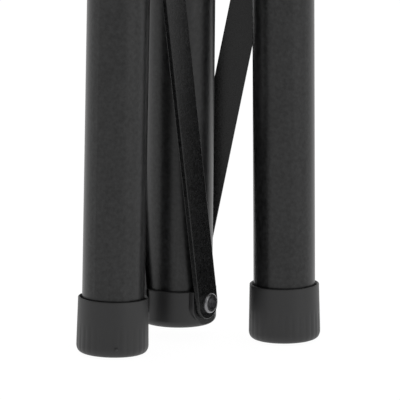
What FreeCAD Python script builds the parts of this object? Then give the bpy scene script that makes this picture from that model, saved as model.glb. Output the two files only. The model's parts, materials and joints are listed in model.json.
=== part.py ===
import FreeCAD
import Part
import math
import os

# Folding tripod stand with a swivel seat. Millimetres, +Z up.
# The origin is on the centre post's axis at floor level, with the stand folded on its foot caps.
# Arm 1 lies in the plane of +X. Arms 2 and 3 are the same arm turned 120 and 240 degrees.
# In an arm's own frame u runs outward, v runs sideways (to the left when looking outward), z up.

ARM_ANGLES = (0.0, 120.0, 240.0)

# Fits
running_clearance = 0.05      # radial, pin in a turning piece
slide_clearance = 0.08        # radial, tube in a guide
face_clearance = 0.1          # between flat faces that turn on each other
free_clearance = 0.3          # between pieces that only pass or nearly touch

# Tubes
leg_diameter = 25.4
leg_wall = 1.2
post_diameter = 28.6
post_wall = 1.5
stem_wall = 1.5

# Arm geometry
leg_length = 429.0            # leg pivot to the sole of the foot cap
leg_socket_gap = 1.35         # folded leg to the leg hub's socket
folded_splay = 0.94           # leg from vertical, degrees, folded
open_splay = 36.0             # leg from vertical, degrees, open
strut_shortfall = 3.0         # strut shorter than the leg's upper part, pivot to pivot
lower_pivot_height = 16.1     # strut's lower pivot above the floor, folded
lower_pivot_offset = 2.0      # the same pivot, outward from the post's axis

# Foot cap
cap_wall = 1.6
cap_flare = 1.0               # sole wider than the rim
cap_height = 23.1
cap_floor = 3.2
cap_corner = 2.9
cap_rim_round = 0.6
cap_mouth = 0.7               # chamfer inside the rim

# Strut
strut_width = 12.7
strut_thickness = 2.2
strut_end = 6.7               # pivot to the end of the bar
strut_corner = 6.2
strut_edge_round = 0.35
rivet_shank_diameter = 5.0
rivet_head_diameter = 8.4
rivet_head_height = 1.7
rivet_recess_diameter = 4.8
rivet_recess_depth = 2.0
head_round_share = 0.6        # edge radius of a round head, as a share of its height
rivet_flare_diameter = 7.0
rivet_flare_height = 0.9

# Lower hub
lower_hub_wall = 1.7
lower_hub_lip = 2.2           # hub below its pads
lower_hub_above_pivot = 5.0
lower_hub_floor = 3.0
lower_hub_corner = 3.0
pad_stand_off = 0.75          # least pad face beyond the post's surface
pad_overhang = 1.25           # pad beyond each side of the strut
pad_corner = 7.0
pad_margin = 1.4              # pad below the strut's end

# Leg hub
hub_wall = 4.4
hub_below_pivot = 46.0
hub_step_above_pivot = 13.0   # ledge that stops the post guide and seats the stem
socket_depth = 20.0
socket_wall = 4.4
lug_thickness = 4.0
lug_material = 5.5            # around the bolt
lug_rise = 9.0
bolt_diameter = 8.0
bolt_head_across = 13.0
bolt_head_height = 5.3
nut_height = 6.5
bolt_tail = 1.5
set_screw_diameter = 5.0
set_screw_sink = 0.4
set_screw_drive_depth = 2.0
set_screw_angle = 60.0

# Leg head plug
leg_above_pivot = 8.0
leg_plug_depth = 26.0
leg_plug_flange = 2.4
leg_plug_round = 2.0

# Spacer between leg and strut
spacer_diameter = 12.0
spacer_least = 1.5            # thickness over the leg's surface

# Clamp
clamp_angle = 60.0
clamp_below_pivot = 32.0
clamp_boss_diameter = 17.0
clamp_boss_projection = 14.2
clamp_boss_knob_gap = 2.5
clamp_stud_diameter = 8.0
clamp_knob_diameter = 36.0
clamp_knob_length = 17.0
clamp_knob_neck_diameter = 15.0
clamp_knob_neck_length = 4.0
clamp_knob_lobes = 5
clamp_lobe_diameter = 11.0
clamp_stud_grip = 11.0
clamp_knob_edge = 1.6
insert_wall = 2.0
insert_length = 10.0

# Post guide and stem
guide_collar = 3.25           # stem's bore beyond the post's surface
guide_height = 14.0
guide_spigot_depth = 22.0
guide_wall = 3.0
stop_gap = 0.5
plug_depth = 12.0

# Swivel
swivel_base_margin = 12.0     # base beyond the ball circle
swivel_top_margin = 23.0      # top plate beyond the base
swivel_plate_thickness = 3.0
swivel_gap = 3.0
swivel_neck_height = 20.0
swivel_neck_wall = 2.5
ball_diameter = 6.0
ball_circle_diameter = 80.0
ball_count = 24
ball_clearance = 0.05
kingpin_diameter = 10.0
kingpin_head_diameter = 18.0
kingpin_head_height = 3.0
kingpin_nut_across = 17.0
kingpin_nut_height = 8.0

# Seat
board_thickness = 10.0
board_bore_gap = 5.0          # round the kingpin's nut
seat_screw_inset = 12.0       # screw circle inside the top plate's edge
seat_screw_count = 4
seat_screw_start = 45.0
seat_screw_diameter = 6.0
seat_screw_head_diameter = 12.0
seat_screw_head_height = 2.6
seat_screw_bite = 8.0
seat_screw_drive = 4.0
seat_screw_drive_depth = 1.6
cushion_diameter = 340.0
cushion_side = 12.7           # cushion round the board's edge
cushion_height = 60.0
cushion_top_round = 20.0
cushion_bottom_round = 6.0

# Worked out: tubes
leg_radius = leg_diameter / 2
post_radius = post_diameter / 2
post_bore_radius = post_radius - post_wall
stem_bore_radius = post_radius + guide_collar
stem_radius = stem_bore_radius + stem_wall
stem_diameter = 2 * stem_radius
socket_radius = stem_radius + socket_wall

# Worked out: folding linkage
splay = math.radians(folded_splay)
open_angle = math.radians(open_splay)
cap_rim_diameter = leg_diameter + 2 * cap_wall
cap_sole_diameter = cap_rim_diameter + cap_flare
cap_flat_radius = cap_sole_diameter / 2 - cap_corner
sole_lift = cap_flat_radius * math.sin(splay) + cap_corner * (1 - math.cos(splay))
pivot_height = leg_length * math.cos(splay) + sole_lift
leg_pivot_radius = socket_radius + leg_socket_gap + leg_radius
folded_span = pivot_height - lower_pivot_height
pivot_run = leg_pivot_radius - lower_pivot_offset
drop_top = folded_span ** 2 + pivot_run ** 2 - strut_shortfall ** 2
drop_bottom = folded_span * math.cos(splay) - pivot_run * math.sin(splay) - strut_shortfall
strut_drop = drop_top / (2 * drop_bottom)
strut_length = strut_drop - strut_shortfall
strut_lean = math.asin((pivot_run + strut_drop * math.sin(splay)) / strut_length)
open_strut_lean = math.asin((pivot_run + strut_drop * math.sin(open_angle)) / strut_length)
open_span = strut_drop * math.cos(open_angle) + strut_length * math.cos(open_strut_lean)
post_travel = folded_span - open_span

# Worked out: pieces
pad_face = max(post_radius + pad_stand_off, leg_radius + spacer_least)
pad_width = strut_width + 2 * pad_overhang
lower_hub_diameter = post_diameter + 2 * lower_hub_wall
pad_bottom = lower_pivot_height - strut_end - pad_margin
lower_hub_bottom = pad_bottom - lower_hub_lip
lower_hub_top = lower_pivot_height + lower_hub_above_pivot
strut_inner = pad_face + face_clearance
strut_outer = strut_inner + strut_thickness
full_round_share = 0.49       # a round end's corner radius at most, as a share of the width
bar_corner = min(strut_corner, full_round_share * strut_width)
rivet_radius = rivet_shank_diameter / 2
rivet_hole_radius = rivet_radius + running_clearance
flare_reach = lower_pivot_offset + rivet_flare_diameter / 2
flare_face = math.sqrt(post_bore_radius ** 2 - flare_reach ** 2) - face_clearance

hub_bore_radius = post_radius + slide_clearance
hub_radius = hub_bore_radius + hub_wall
ledge_height = pivot_height + hub_step_above_pivot
set_screw_height = ledge_height + socket_depth / 2
lug_inner = leg_radius + free_clearance
lug_outer = lug_inner + lug_thickness
lug_round = bolt_diameter / 2 + lug_material
bolt_bore_radius = bolt_diameter / 2 + running_clearance
clamp_height = pivot_height - clamp_below_pivot
clamp_boss_reach = hub_radius + clamp_boss_projection
clamp_knob_start = clamp_boss_reach + clamp_boss_knob_gap
insert_diameter = clamp_stud_diameter + 2 * insert_wall

post_bottom = lower_hub_bottom + lower_hub_floor
guide_bottom = ledge_height
post_top = guide_bottom + guide_height - guide_wall
stop_height = guide_bottom + guide_height + post_travel + stop_gap
stem_top = stop_height + plug_depth

swivel_base_diameter = ball_circle_diameter + 2 * swivel_base_margin
swivel_top_diameter = swivel_base_diameter + 2 * swivel_top_margin
seat_screw_circle_diameter = swivel_top_diameter - 2 * seat_screw_inset
board_bore_diameter = kingpin_nut_across * 2 / math.sqrt(3) + 2 * board_bore_gap
board_diameter = cushion_diameter - 2 * (cushion_side + free_clearance)
swivel_base_top = stem_top + swivel_plate_thickness
swivel_top_bottom = swivel_base_top + swivel_gap
swivel_top_top = swivel_top_bottom + swivel_plate_thickness
board_top = swivel_top_top + board_thickness
cushion_bottom = swivel_top_top + free_clearance
cushion_top = cushion_bottom + cushion_height

X_AXIS = FreeCAD.Vector(1, 0, 0)
Y_AXIS = FreeCAD.Vector(0, 1, 0)
Z_AXIS = FreeCAD.Vector(0, 0, 1)
small = 1e-4                  # for comparing lengths
overrun = 1.0                 # a cutting tool runs this far past what it cuts


def point(x, y, z):
    return FreeCAD.Vector(x, y, z)


def rod(diameter, start, end):
    direction = end - start
    return Part.makeCylinder(diameter / 2, direction.Length, start, direction)


def ring(outer_diameter, inner_diameter, bottom, height):
    outer = rod(outer_diameter, point(0, 0, bottom), point(0, 0, bottom + height))
    inner = rod(inner_diameter, point(0, 0, bottom - overrun), point(0, 0, bottom + height + overrun))
    return outer.cut(inner)


def box(x_range, y_range, z_range):
    size = point(x_range[1] - x_range[0], y_range[1] - y_range[0], z_range[1] - z_range[0])
    return Part.makeBox(size.x, size.y, size.z, point(x_range[0], y_range[0], z_range[0]))


def hexagon(across_flats, bottom, height):
    corner_radius = across_flats / math.sqrt(3)
    corners = []
    for step in range(7):
        angle = math.radians(60 * step)
        corners.append(point(corner_radius * math.cos(angle), corner_radius * math.sin(angle), bottom))
    face = Part.Face(Part.makePolygon(corners))
    prism = face.extrude(point(0, 0, height))
    chamfer = corner_radius - across_flats / 2
    cone_base = across_flats / 2 + chamfer
    trimmer = Part.makeCylinder(cone_base, height - chamfer / 2, point(0, 0, bottom))
    cone = Part.makeCone(cone_base, across_flats / 2, chamfer / 2, point(0, 0, bottom + height - chamfer / 2))
    return prism.common(trimmer.fuse(cone).removeSplitter())


def turned(shape, axis, degrees, centre=None):
    copy = shape.copy()
    copy.rotate(centre or point(0, 0, 0), axis, degrees)
    return copy


def moved(shape, x, y, z):
    copy = shape.copy()
    copy.translate(point(x, y, z))
    return copy


def laid_along_v(shape):
    # A piece built about Z, turned so that its +Z runs along +v.
    return turned(shape, X_AXIS, -90)


def edges_where(shape, test):
    found = []
    for edge in shape.Edges:
        if test(edge):
            found.append(edge)
    return found


def circle_at(radius, height):
    def test(edge):
        curve = edge.Curve
        if not isinstance(curve, Part.Circle):
            return False
        return abs(curve.Radius - radius) < small and abs(curve.Center.z - height) < small
    return test


# ---------- leg: built with its pivot at the origin, hanging along -Z ----------

def leg_in_place(shape):
    leaned = turned(shape, Y_AXIS, -folded_splay)
    return moved(leaned, leg_pivot_radius, 0, pivot_height)


def leg_tube():
    bottom = -leg_length + cap_floor
    tube = ring(leg_diameter, leg_diameter - 2 * leg_wall, bottom, leg_above_pivot - bottom)
    bolt_hole = rod(bolt_diameter + 2 * free_clearance, point(0, -leg_diameter, 0), point(0, leg_diameter, 0))
    return tube.cut(bolt_hole)


def leg_plug():
    bore = leg_diameter - 2 * leg_wall
    shank = rod(bore, point(0, 0, leg_above_pivot - leg_plug_depth), point(0, 0, leg_above_pivot))
    flange = rod(leg_diameter, point(0, 0, leg_above_pivot), point(0, 0, leg_above_pivot + leg_plug_flange))
    rim = circle_at(leg_radius, leg_above_pivot + leg_plug_flange)
    flange = flange.makeFillet(leg_plug_round, edges_where(flange, rim))
    plug = shank.fuse(flange).removeSplitter()
    bolt_bore = rod(2 * bolt_bore_radius, point(0, -leg_diameter, 0), point(0, leg_diameter, 0))
    return plug.cut(bolt_bore)


def foot_cap():
    sole = -leg_length
    rim = sole + cap_height
    body = Part.makeCone(cap_sole_diameter / 2, cap_rim_diameter / 2, cap_height, point(0, 0, sole))
    body = body.makeFillet(cap_corner, edges_where(body, circle_at(cap_sole_diameter / 2, sole)))
    body = body.makeFillet(cap_rim_round, edges_where(body, circle_at(cap_rim_diameter / 2, rim)))
    socket = rod(leg_diameter, point(0, 0, sole + cap_floor), point(0, 0, rim + cap_rim_round))
    mouth = Part.makeCone(leg_radius, leg_radius + cap_mouth, cap_mouth, point(0, 0, rim - cap_mouth))
    return body.cut(socket).cut(mouth)


def strut_spacer():
    face = strut_inner - free_clearance
    boss = rod(spacer_diameter, point(0, leg_radius / 2, -strut_drop), point(0, face, -strut_drop))
    tube_bottom = -strut_drop - leg_radius
    tube_space = rod(leg_diameter, point(0, 0, tube_bottom), point(0, 0, tube_bottom + leg_diameter))
    bore = rod(rivet_shank_diameter, point(0, 0, -strut_drop), point(0, face + leg_radius, -strut_drop))
    return boss.cut(tube_space).cut(bore)


# ---------- strut: built with its lower pivot at the origin, standing along +Z ----------

def strut_in_place(shape):
    leaned = turned(shape, Y_AXIS, math.degrees(strut_lean))
    return moved(leaned, lower_pivot_offset, 0, lower_pivot_height)


def strut_bar():
    bar = box(
        (-strut_width / 2, strut_width / 2),
        (strut_inner, strut_outer),
        (-strut_end, strut_length + strut_end),
    )
    corners = edges_where(bar, lambda edge: abs(edge.BoundBox.YLength - strut_thickness) < small)
    bar = bar.makeFillet(bar_corner, corners)
    for height in (0.0, strut_length):
        hole_start = point(0, strut_inner - overrun, height)
        hole_end = point(0, strut_outer + overrun, height)
        hole = rod(2 * rivet_hole_radius, hole_start, hole_end)
        bar = bar.cut(hole)
    outer_rim = []
    for edge in bar.Edges:
        flat = edge.BoundBox.YLength < small
        long_or_corner = edge.Length > strut_thickness * 2
        round_hole = isinstance(edge.Curve, Part.Circle) and edge.Curve.Radius < rivet_hole_radius + small
        if flat and long_or_corner and not round_hole:
            outer_rim.append(edge)
    return bar.makeFillet(strut_edge_round, outer_rim)


def rivet(head_base, tail, flared):
    # Built along +v with the head's underside at head_base and the shank's end at tail.
    base = point(0, head_base, 0)
    top = point(0, head_base + rivet_head_height, 0)
    head = rod(rivet_head_diameter, base, top)
    head_rim = []
    for edge in head.Edges:
        if isinstance(edge.Curve, Part.Circle) and abs(edge.Curve.Center.y - top.y) < small:
            head_rim.append(edge)
    head = head.makeFillet(rivet_head_height * head_round_share, head_rim)
    body = head.fuse(rod(rivet_shank_diameter, point(0, tail, 0), top))
    if flared:
        body = body.fuse(rod(rivet_flare_diameter, point(0, tail, 0), point(0, tail + rivet_flare_height, 0)))
    recess = rod(rivet_recess_diameter, point(0, top.y - rivet_recess_depth, 0), point(0, top.y + overrun, 0))
    return body.removeSplitter().cut(recess)


def lower_rivet():
    made = rivet(strut_outer + face_clearance, flare_face - rivet_flare_height, True)
    return moved(made, lower_pivot_offset, 0, lower_pivot_height)


def upper_rivet():
    made = rivet(strut_outer, strut_inner, False)
    return moved(made, 0, 0, strut_length)


# ---------- post and lower hub ----------

def around_the_post(shape):
    copies = []
    for angle in ARM_ANGLES:
        copies.append(turned(shape, Z_AXIS, angle))
    return copies


def centre_post():
    tube = ring(post_diameter, 2 * post_bore_radius, post_bottom, post_top - post_bottom)
    hole = rod(rivet_shank_diameter, point(0, 0, 0), point(0, post_diameter, 0))
    hole = moved(hole, lower_pivot_offset, 0, lower_pivot_height)
    for copy in around_the_post(hole):
        tube = tube.cut(copy)
    return tube


def hub_pad():
    bottom = pad_bottom
    top = lower_hub_top
    pad = box(
        (lower_pivot_offset - pad_width / 2, lower_pivot_offset + pad_width / 2),
        (0, pad_face),
        (bottom, top),
    )
    lower_corners = edges_where(
        pad,
        lambda edge: abs(edge.BoundBox.YLength - pad_face) < small and edge.BoundBox.ZMax < bottom + small,
    )
    pad = pad.makeFillet(min(pad_corner, full_round_share * pad_width), lower_corners)
    front_rim = edges_where(
        pad,
        lambda edge: edge.BoundBox.YMin > pad_face - small and edge.BoundBox.ZMin < top - small,
    )
    return pad.makeFillet(strut_edge_round, front_rim)


def lower_hub():
    top = lower_hub_top
    body = rod(lower_hub_diameter, point(0, 0, lower_hub_bottom), point(0, 0, top))
    foot_edge = edges_where(body, circle_at(lower_hub_diameter / 2, lower_hub_bottom))
    body = body.makeFillet(lower_hub_corner, foot_edge)
    rim_edge = edges_where(body, circle_at(lower_hub_diameter / 2, top))
    body = body.makeFillet(cap_rim_round, rim_edge)
    beyond = box((-pad_width, pad_width), (pad_face, lower_hub_diameter), (0, top + overrun))
    for copy in around_the_post(beyond):
        body = body.cut(copy)
    for copy in around_the_post(hub_pad()):
        body = body.fuse(copy)
    body = body.removeSplitter()
    body = body.cut(rod(post_diameter, point(0, 0, post_bottom), point(0, 0, top + overrun)))
    shank = rod(rivet_shank_diameter, point(0, 0, 0), point(0, lower_hub_diameter, 0))
    shank = moved(shank, lower_pivot_offset, 0, lower_pivot_height)
    for copy in around_the_post(shank):
        body = body.cut(copy)
    return body


def post_guide():
    bottom = guide_bottom
    top = bottom + guide_height
    outer = rod(2 * (stem_bore_radius - slide_clearance), point(0, 0, bottom), point(0, 0, top))
    post_space = rod(post_diameter, point(0, 0, bottom - overrun), point(0, 0, post_top))
    spigot = rod(2 * post_bore_radius, point(0, 0, post_top - guide_spigot_depth), point(0, 0, post_top))
    body = outer.cut(post_space).fuse(spigot).removeSplitter()
    hollow_diameter = 2 * (post_bore_radius - guide_wall)
    hollow_bottom = post_top - guide_spigot_depth - overrun
    return body.cut(rod(hollow_diameter, point(0, 0, hollow_bottom), point(0, 0, top + overrun)))


# ---------- leg hub ----------

def lug_pair():
    lugs = []
    for side in (-1, 1):
        near = side * lug_inner if side > 0 else side * lug_outer
        plate = box(
            (0, leg_pivot_radius),
            (near, near + lug_thickness),
            (pivot_height - lug_round, pivot_height + lug_rise),
        )
        end = rod(2 * lug_round, point(0, near, 0), point(0, near + lug_thickness, 0))
        plate = plate.fuse(moved(end, leg_pivot_radius, 0, pivot_height))
        web_top = pivot_height - lug_round
        web_foot = web_top - 2 * lug_round
        web = Part.Face(Part.makePolygon([
            point(0, near, web_top),
            point(leg_pivot_radius, near, web_top),
            point(hub_radius, near, web_foot),
            point(0, near, web_foot),
            point(0, near, web_top),
        ])).extrude(point(0, lug_thickness, 0))
        lugs.append(plate.fuse(web))
    return lugs[0].fuse(lugs[1])


def clamp_rod(diameter, start, end):
    made = rod(diameter, point(start, 0, clamp_height), point(end, 0, clamp_height))
    return turned(made, Z_AXIS, clamp_angle)


def leg_hub():
    bottom = pivot_height - hub_below_pivot
    socket_top = ledge_height + socket_depth
    socket_bottom = ledge_height - socket_wall
    body = rod(2 * hub_radius, point(0, 0, bottom), point(0, 0, socket_bottom + overrun))
    socket = rod(2 * socket_radius, point(0, 0, socket_bottom), point(0, 0, socket_top))
    socket = socket.makeFillet(socket_wall / 2, edges_where(socket, circle_at(socket_radius, socket_bottom)))
    body = body.fuse(socket)
    for copy in around_the_post(lug_pair()):
        body = body.fuse(copy)
    body = body.fuse(clamp_rod(clamp_boss_diameter, post_radius, clamp_boss_reach))
    body = body.removeSplitter()
    post_bore = rod(2 * hub_bore_radius, point(0, 0, bottom - overrun), point(0, 0, ledge_height))
    body = body.cut(post_bore)
    body = body.cut(rod(stem_diameter, point(0, 0, ledge_height), point(0, 0, socket_top + overrun)))
    bolt_hole = rod(bolt_diameter, point(0, -lug_outer - overrun, 0), point(0, lug_outer + overrun, 0))
    for copy in around_the_post(moved(bolt_hole, leg_pivot_radius, 0, pivot_height)):
        body = body.cut(copy)
    body = body.cut(clamp_rod(clamp_stud_diameter + 2 * running_clearance, 0, clamp_boss_reach + overrun))
    body = body.cut(clamp_rod(insert_diameter, clamp_boss_reach - insert_length, clamp_boss_reach + overrun))
    for copy in around_the_post(set_screw_space()):
        body = body.cut(copy)
    return body


def set_screw_space():
    made = rod(set_screw_diameter, point(stem_radius, 0, 0), point(socket_radius + overrun, 0, 0))
    return turned(moved(made, 0, 0, set_screw_height), Z_AXIS, set_screw_angle)


def stem_screws():
    screw_face = socket_radius - set_screw_sink
    screw = rod(set_screw_diameter, point(stem_radius, 0, 0), point(screw_face, 0, 0))
    drive = hexagon(set_screw_diameter / 2, 0, set_screw_drive_depth + overrun)
    drive = moved(turned(drive, Y_AXIS, 90), screw_face - set_screw_drive_depth, 0, 0)
    screw = moved(screw.cut(drive), 0, 0, set_screw_height)
    return Part.makeCompound(around_the_post(turned(screw, Z_AXIS, set_screw_angle)))


def pivot_bolts():
    head = laid_along_v(hexagon(bolt_head_across, lug_outer, bolt_head_height))
    tail = -(lug_outer + nut_height + bolt_tail)
    shank = rod(bolt_diameter, point(0, tail, 0), point(0, lug_outer + overrun, 0))
    bolt = moved(shank.fuse(head).removeSplitter(), leg_pivot_radius, 0, pivot_height)
    return Part.makeCompound(around_the_post(bolt))


def pivot_nuts():
    nut = hexagon(bolt_head_across, lug_outer, nut_height)
    nut = nut.cut(rod(bolt_diameter, point(0, 0, 0), point(0, 0, lug_outer + nut_height + overrun)))
    nut = turned(nut, X_AXIS, 90)
    return Part.makeCompound(around_the_post(moved(nut, leg_pivot_radius, 0, pivot_height)))


# ---------- clamp ----------

def clamp_insert():
    outer = clamp_rod(insert_diameter, clamp_boss_reach - insert_length, clamp_boss_reach)
    return outer.cut(clamp_rod(clamp_stud_diameter + 2 * running_clearance, 0, clamp_boss_reach + overrun))


def clamp_stud():
    return clamp_rod(clamp_stud_diameter, hub_bore_radius, clamp_knob_start + clamp_stud_grip)


def clamp_knob():
    start = clamp_knob_start
    disc_start = start + clamp_knob_neck_length
    end = start + clamp_knob_length
    waist = clamp_knob_diameter - clamp_lobe_diameter
    body = rod(waist, point(disc_start, 0, 0), point(end, 0, 0))
    for lobe in range(clamp_knob_lobes):
        angle = 2 * math.pi * lobe / clamp_knob_lobes
        y = waist / 2 * math.cos(angle)
        z = waist / 2 * math.sin(angle)
        body = body.fuse(rod(clamp_lobe_diameter, point(disc_start, y, z), point(end, y, z)))
    body = body.removeSplitter()
    rim = edges_where(
        body,
        lambda edge: edge.BoundBox.XLength < small,
    )
    body = body.makeFillet(clamp_knob_edge, rim)
    body = body.fuse(rod(clamp_knob_neck_diameter, point(start, 0, 0), point(disc_start + overrun, 0, 0)))
    body = body.removeSplitter()
    body = body.cut(rod(clamp_stud_diameter, point(0, 0, 0), point(start + clamp_stud_grip, 0, 0)))
    return turned(moved(body, 0, 0, clamp_height), Z_AXIS, clamp_angle)


# ---------- stem and swivel ----------

def seat_stem():
    return ring(stem_diameter, 2 * stem_bore_radius, ledge_height, stem_top - ledge_height)


def stem_plug():
    plug = rod(2 * stem_bore_radius, point(0, 0, stop_height), point(0, 0, stem_top))
    head_bottom = point(0, 0, stem_top - kingpin_head_height)
    return plug.cut(rod(kingpin_head_diameter, head_bottom, point(0, 0, stem_top + overrun)))


def ball_groove(plate_face):
    # A ring groove that holds half a ball, less the gap between the plates.
    tube_radius = ball_diameter / 2 + ball_clearance
    return Part.makeTorus(ball_circle_diameter / 2, tube_radius, point(0, 0, plate_face))


def ball_centre_height():
    return (swivel_base_top + swivel_top_bottom) / 2


def swivel_neck():
    neck_diameter = stem_diameter + 2 * swivel_neck_wall
    return ring(neck_diameter, stem_diameter, stem_top - swivel_neck_height, swivel_neck_height)


def swivel_base():
    body = rod(swivel_base_diameter, point(0, 0, stem_top), point(0, 0, swivel_base_top))
    bore_top = point(0, 0, swivel_base_top + overrun)
    body = body.cut(rod(kingpin_diameter, point(0, 0, stem_top - overrun), bore_top))
    return body.cut(ball_groove(ball_centre_height()))


def swivel_top():
    disc = rod(swivel_top_diameter, point(0, 0, swivel_top_bottom), point(0, 0, swivel_top_top))
    bore = kingpin_diameter + 2 * running_clearance
    bore_bottom = point(0, 0, swivel_top_bottom - overrun)
    disc = disc.cut(rod(bore, bore_bottom, point(0, 0, swivel_top_top + overrun)))
    disc = disc.cut(ball_groove(ball_centre_height()))
    for copy in around_screws(rod(
        seat_screw_diameter,
        point(seat_screw_circle_diameter / 2, 0, swivel_top_bottom - overrun),
        point(seat_screw_circle_diameter / 2, 0, swivel_top_top + overrun),
    )):
        disc = disc.cut(copy)
    return disc


def around_screws(shape):
    copies = []
    for step in range(seat_screw_count):
        copies.append(turned(shape, Z_AXIS, seat_screw_start + 360 * step / seat_screw_count))
    return copies


def bearing_balls():
    balls = []
    for step in range(ball_count):
        angle = 2 * math.pi * step / ball_count
        centre = point(
            ball_circle_diameter / 2 * math.cos(angle),
            ball_circle_diameter / 2 * math.sin(angle),
            ball_centre_height(),
        )
        balls.append(Part.makeSphere(ball_diameter / 2, centre))
    return Part.makeCompound(balls)


def kingpin():
    head = rod(kingpin_head_diameter, point(0, 0, stem_top - kingpin_head_height), point(0, 0, stem_top))
    tip = swivel_top_top + face_clearance + kingpin_nut_height
    shank = rod(kingpin_diameter, point(0, 0, stem_top - overrun), point(0, 0, tip))
    return head.fuse(shank).removeSplitter()


def kingpin_nut():
    bottom = swivel_top_top + face_clearance
    nut = hexagon(kingpin_nut_across, bottom, kingpin_nut_height)
    top = bottom + kingpin_nut_height
    return nut.cut(rod(kingpin_diameter, point(0, 0, bottom - overrun), point(0, 0, top + overrun)))


# ---------- seat ----------

def seat_board():
    board = ring(board_diameter, board_bore_diameter, swivel_top_top, board_thickness)
    for copy in around_screws(rod(
        seat_screw_diameter,
        point(seat_screw_circle_diameter / 2, 0, swivel_top_top - overrun),
        point(seat_screw_circle_diameter / 2, 0, swivel_top_top + seat_screw_bite),
    )):
        board = board.cut(copy)
    return board


def seat_screws():
    radius = seat_screw_circle_diameter / 2
    top = swivel_top_top + seat_screw_bite
    head_bottom = swivel_top_bottom - seat_screw_head_height
    head = rod(seat_screw_head_diameter, point(radius, 0, head_bottom), point(radius, 0, swivel_top_bottom))
    head_edge = edges_where(head, circle_at(seat_screw_head_diameter / 2, head_bottom))
    head = head.makeFillet(seat_screw_head_height * head_round_share, head_edge)
    shank_start = point(radius, 0, head_bottom + overrun)
    screw = head.fuse(rod(seat_screw_diameter, shank_start, point(radius, 0, top)))
    screw = screw.removeSplitter()
    drive = hexagon(seat_screw_drive, -overrun, seat_screw_drive_depth + overrun)
    drive = moved(drive, radius, 0, head_bottom)
    return Part.makeCompound(around_screws(screw.cut(drive)))


def seat_cushion():
    body = rod(cushion_diameter, point(0, 0, cushion_bottom), point(0, 0, cushion_top))
    top_edge = edges_where(body, circle_at(cushion_diameter / 2, cushion_top))
    body = body.makeFillet(cushion_top_round, top_edge)
    bottom_edge = edges_where(body, circle_at(cushion_diameter / 2, cushion_bottom))
    body = body.makeFillet(cushion_bottom_round, bottom_edge)
    space_diameter = board_diameter + 2 * free_clearance
    space_top = point(0, 0, board_top + free_clearance)
    return body.cut(rod(space_diameter, point(0, 0, cushion_bottom - overrun), space_top))


def save(node, shape):
    solids = shape.Solids
    volume = sum(solid.Volume for solid in solids)
    print(f"{node}: {len(solids)} solid(s), {volume:.0f} mm3, valid {shape.isValid()}")
    shape.exportStep(f"parts/{node}.step")


def main():
    os.makedirs("parts", exist_ok=True)
    save("centre_post", centre_post())
    save("lower_hub", lower_hub())
    save("lower_rivets", Part.makeCompound(around_the_post(lower_rivet())))
    save("post_guide", post_guide())
    save("leg_hub", leg_hub())
    save("stem_screws", stem_screws())
    save("leg_pivot_bolts", pivot_bolts())
    save("leg_pivot_nuts", pivot_nuts())
    save("clamp_insert", clamp_insert())
    save("clamp_stud", clamp_stud())
    save("clamp_knob", clamp_knob())
    save("seat_stem", seat_stem())
    save("stem_plug", stem_plug())
    save("swivel_neck", swivel_neck())
    save("swivel_base", swivel_base())
    save("bearing_balls", bearing_balls())
    save("kingpin", kingpin())
    save("kingpin_nut", kingpin_nut())
    save("swivel_top", swivel_top())
    save("seat_screws", seat_screws())
    save("seat_board", seat_board())
    save("seat_cushion", seat_cushion())
    arm_pieces = {
        "leg_tube": leg_in_place(leg_tube()),
        "leg_plug": leg_in_place(leg_plug()),
        "foot_cap": leg_in_place(foot_cap()),
        "strut_spacer": leg_in_place(strut_spacer()),
        "strut": strut_in_place(strut_bar()),
        "upper_rivet": strut_in_place(upper_rivet()),
    }
    for name, shape in arm_pieces.items():
        for number, angle in enumerate(ARM_ANGLES, start=1):
            save(f"{name}_{number}", turned(shape, Z_AXIS, angle))
    print(f"pivot height {pivot_height:.4f}, post travel {post_travel:.4f}")
    print(f"strut length {strut_length:.4f}, lean {math.degrees(strut_lean):.4f}")
    strut_turn = math.degrees(open_strut_lean - strut_lean)
    print(f"leg turn {open_splay - folded_splay:.4f}, strut turn {strut_turn:.4f}")
    print(f"overall height {cushion_top:.3f}, sole lift {sole_lift:.4f}")


main()
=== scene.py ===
import json
import math

import bmesh
import bpy
import numpy as np
from mathutils import Matrix, Vector


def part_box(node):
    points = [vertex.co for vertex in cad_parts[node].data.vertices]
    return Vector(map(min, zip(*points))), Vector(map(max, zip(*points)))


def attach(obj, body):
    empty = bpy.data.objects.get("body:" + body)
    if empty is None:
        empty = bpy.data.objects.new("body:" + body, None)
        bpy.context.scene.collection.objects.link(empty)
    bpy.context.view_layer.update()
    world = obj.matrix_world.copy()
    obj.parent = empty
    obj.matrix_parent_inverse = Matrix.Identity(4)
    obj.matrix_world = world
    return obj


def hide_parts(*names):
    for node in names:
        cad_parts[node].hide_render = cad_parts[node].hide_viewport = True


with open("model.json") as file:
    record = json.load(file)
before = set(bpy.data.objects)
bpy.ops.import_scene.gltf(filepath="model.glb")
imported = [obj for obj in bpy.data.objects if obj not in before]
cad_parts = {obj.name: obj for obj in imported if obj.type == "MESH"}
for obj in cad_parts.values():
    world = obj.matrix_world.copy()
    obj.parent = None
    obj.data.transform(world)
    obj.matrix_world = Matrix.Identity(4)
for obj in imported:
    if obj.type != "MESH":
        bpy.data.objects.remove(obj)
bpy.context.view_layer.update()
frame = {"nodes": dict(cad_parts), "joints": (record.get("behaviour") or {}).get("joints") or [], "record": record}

# Folding tripod stand with a swivel seat, in metres, folded, standing on its three foot caps.
# The CAD nodes give every place; lengths that a maker would read off a rule are in millimetres and
# are turned into metres with mm.

mm = 0.001
nodes = frame["nodes"]
mounts = {mount["name"]: mount for mount in frame["record"]["mounts"]}
pivots = {joint["name"]: joint for joint in frame["joints"]}
arms = (1, 2, 3)
print("frame loaded,", len(nodes), "nodes")


# helpers: surfaces as whole arrays

def meshPoints(mesh):
    flat = np.empty(len(mesh.vertices) * 3)
    mesh.vertices.foreach_get("co", flat)
    return flat.reshape(-1, 3)


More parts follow.
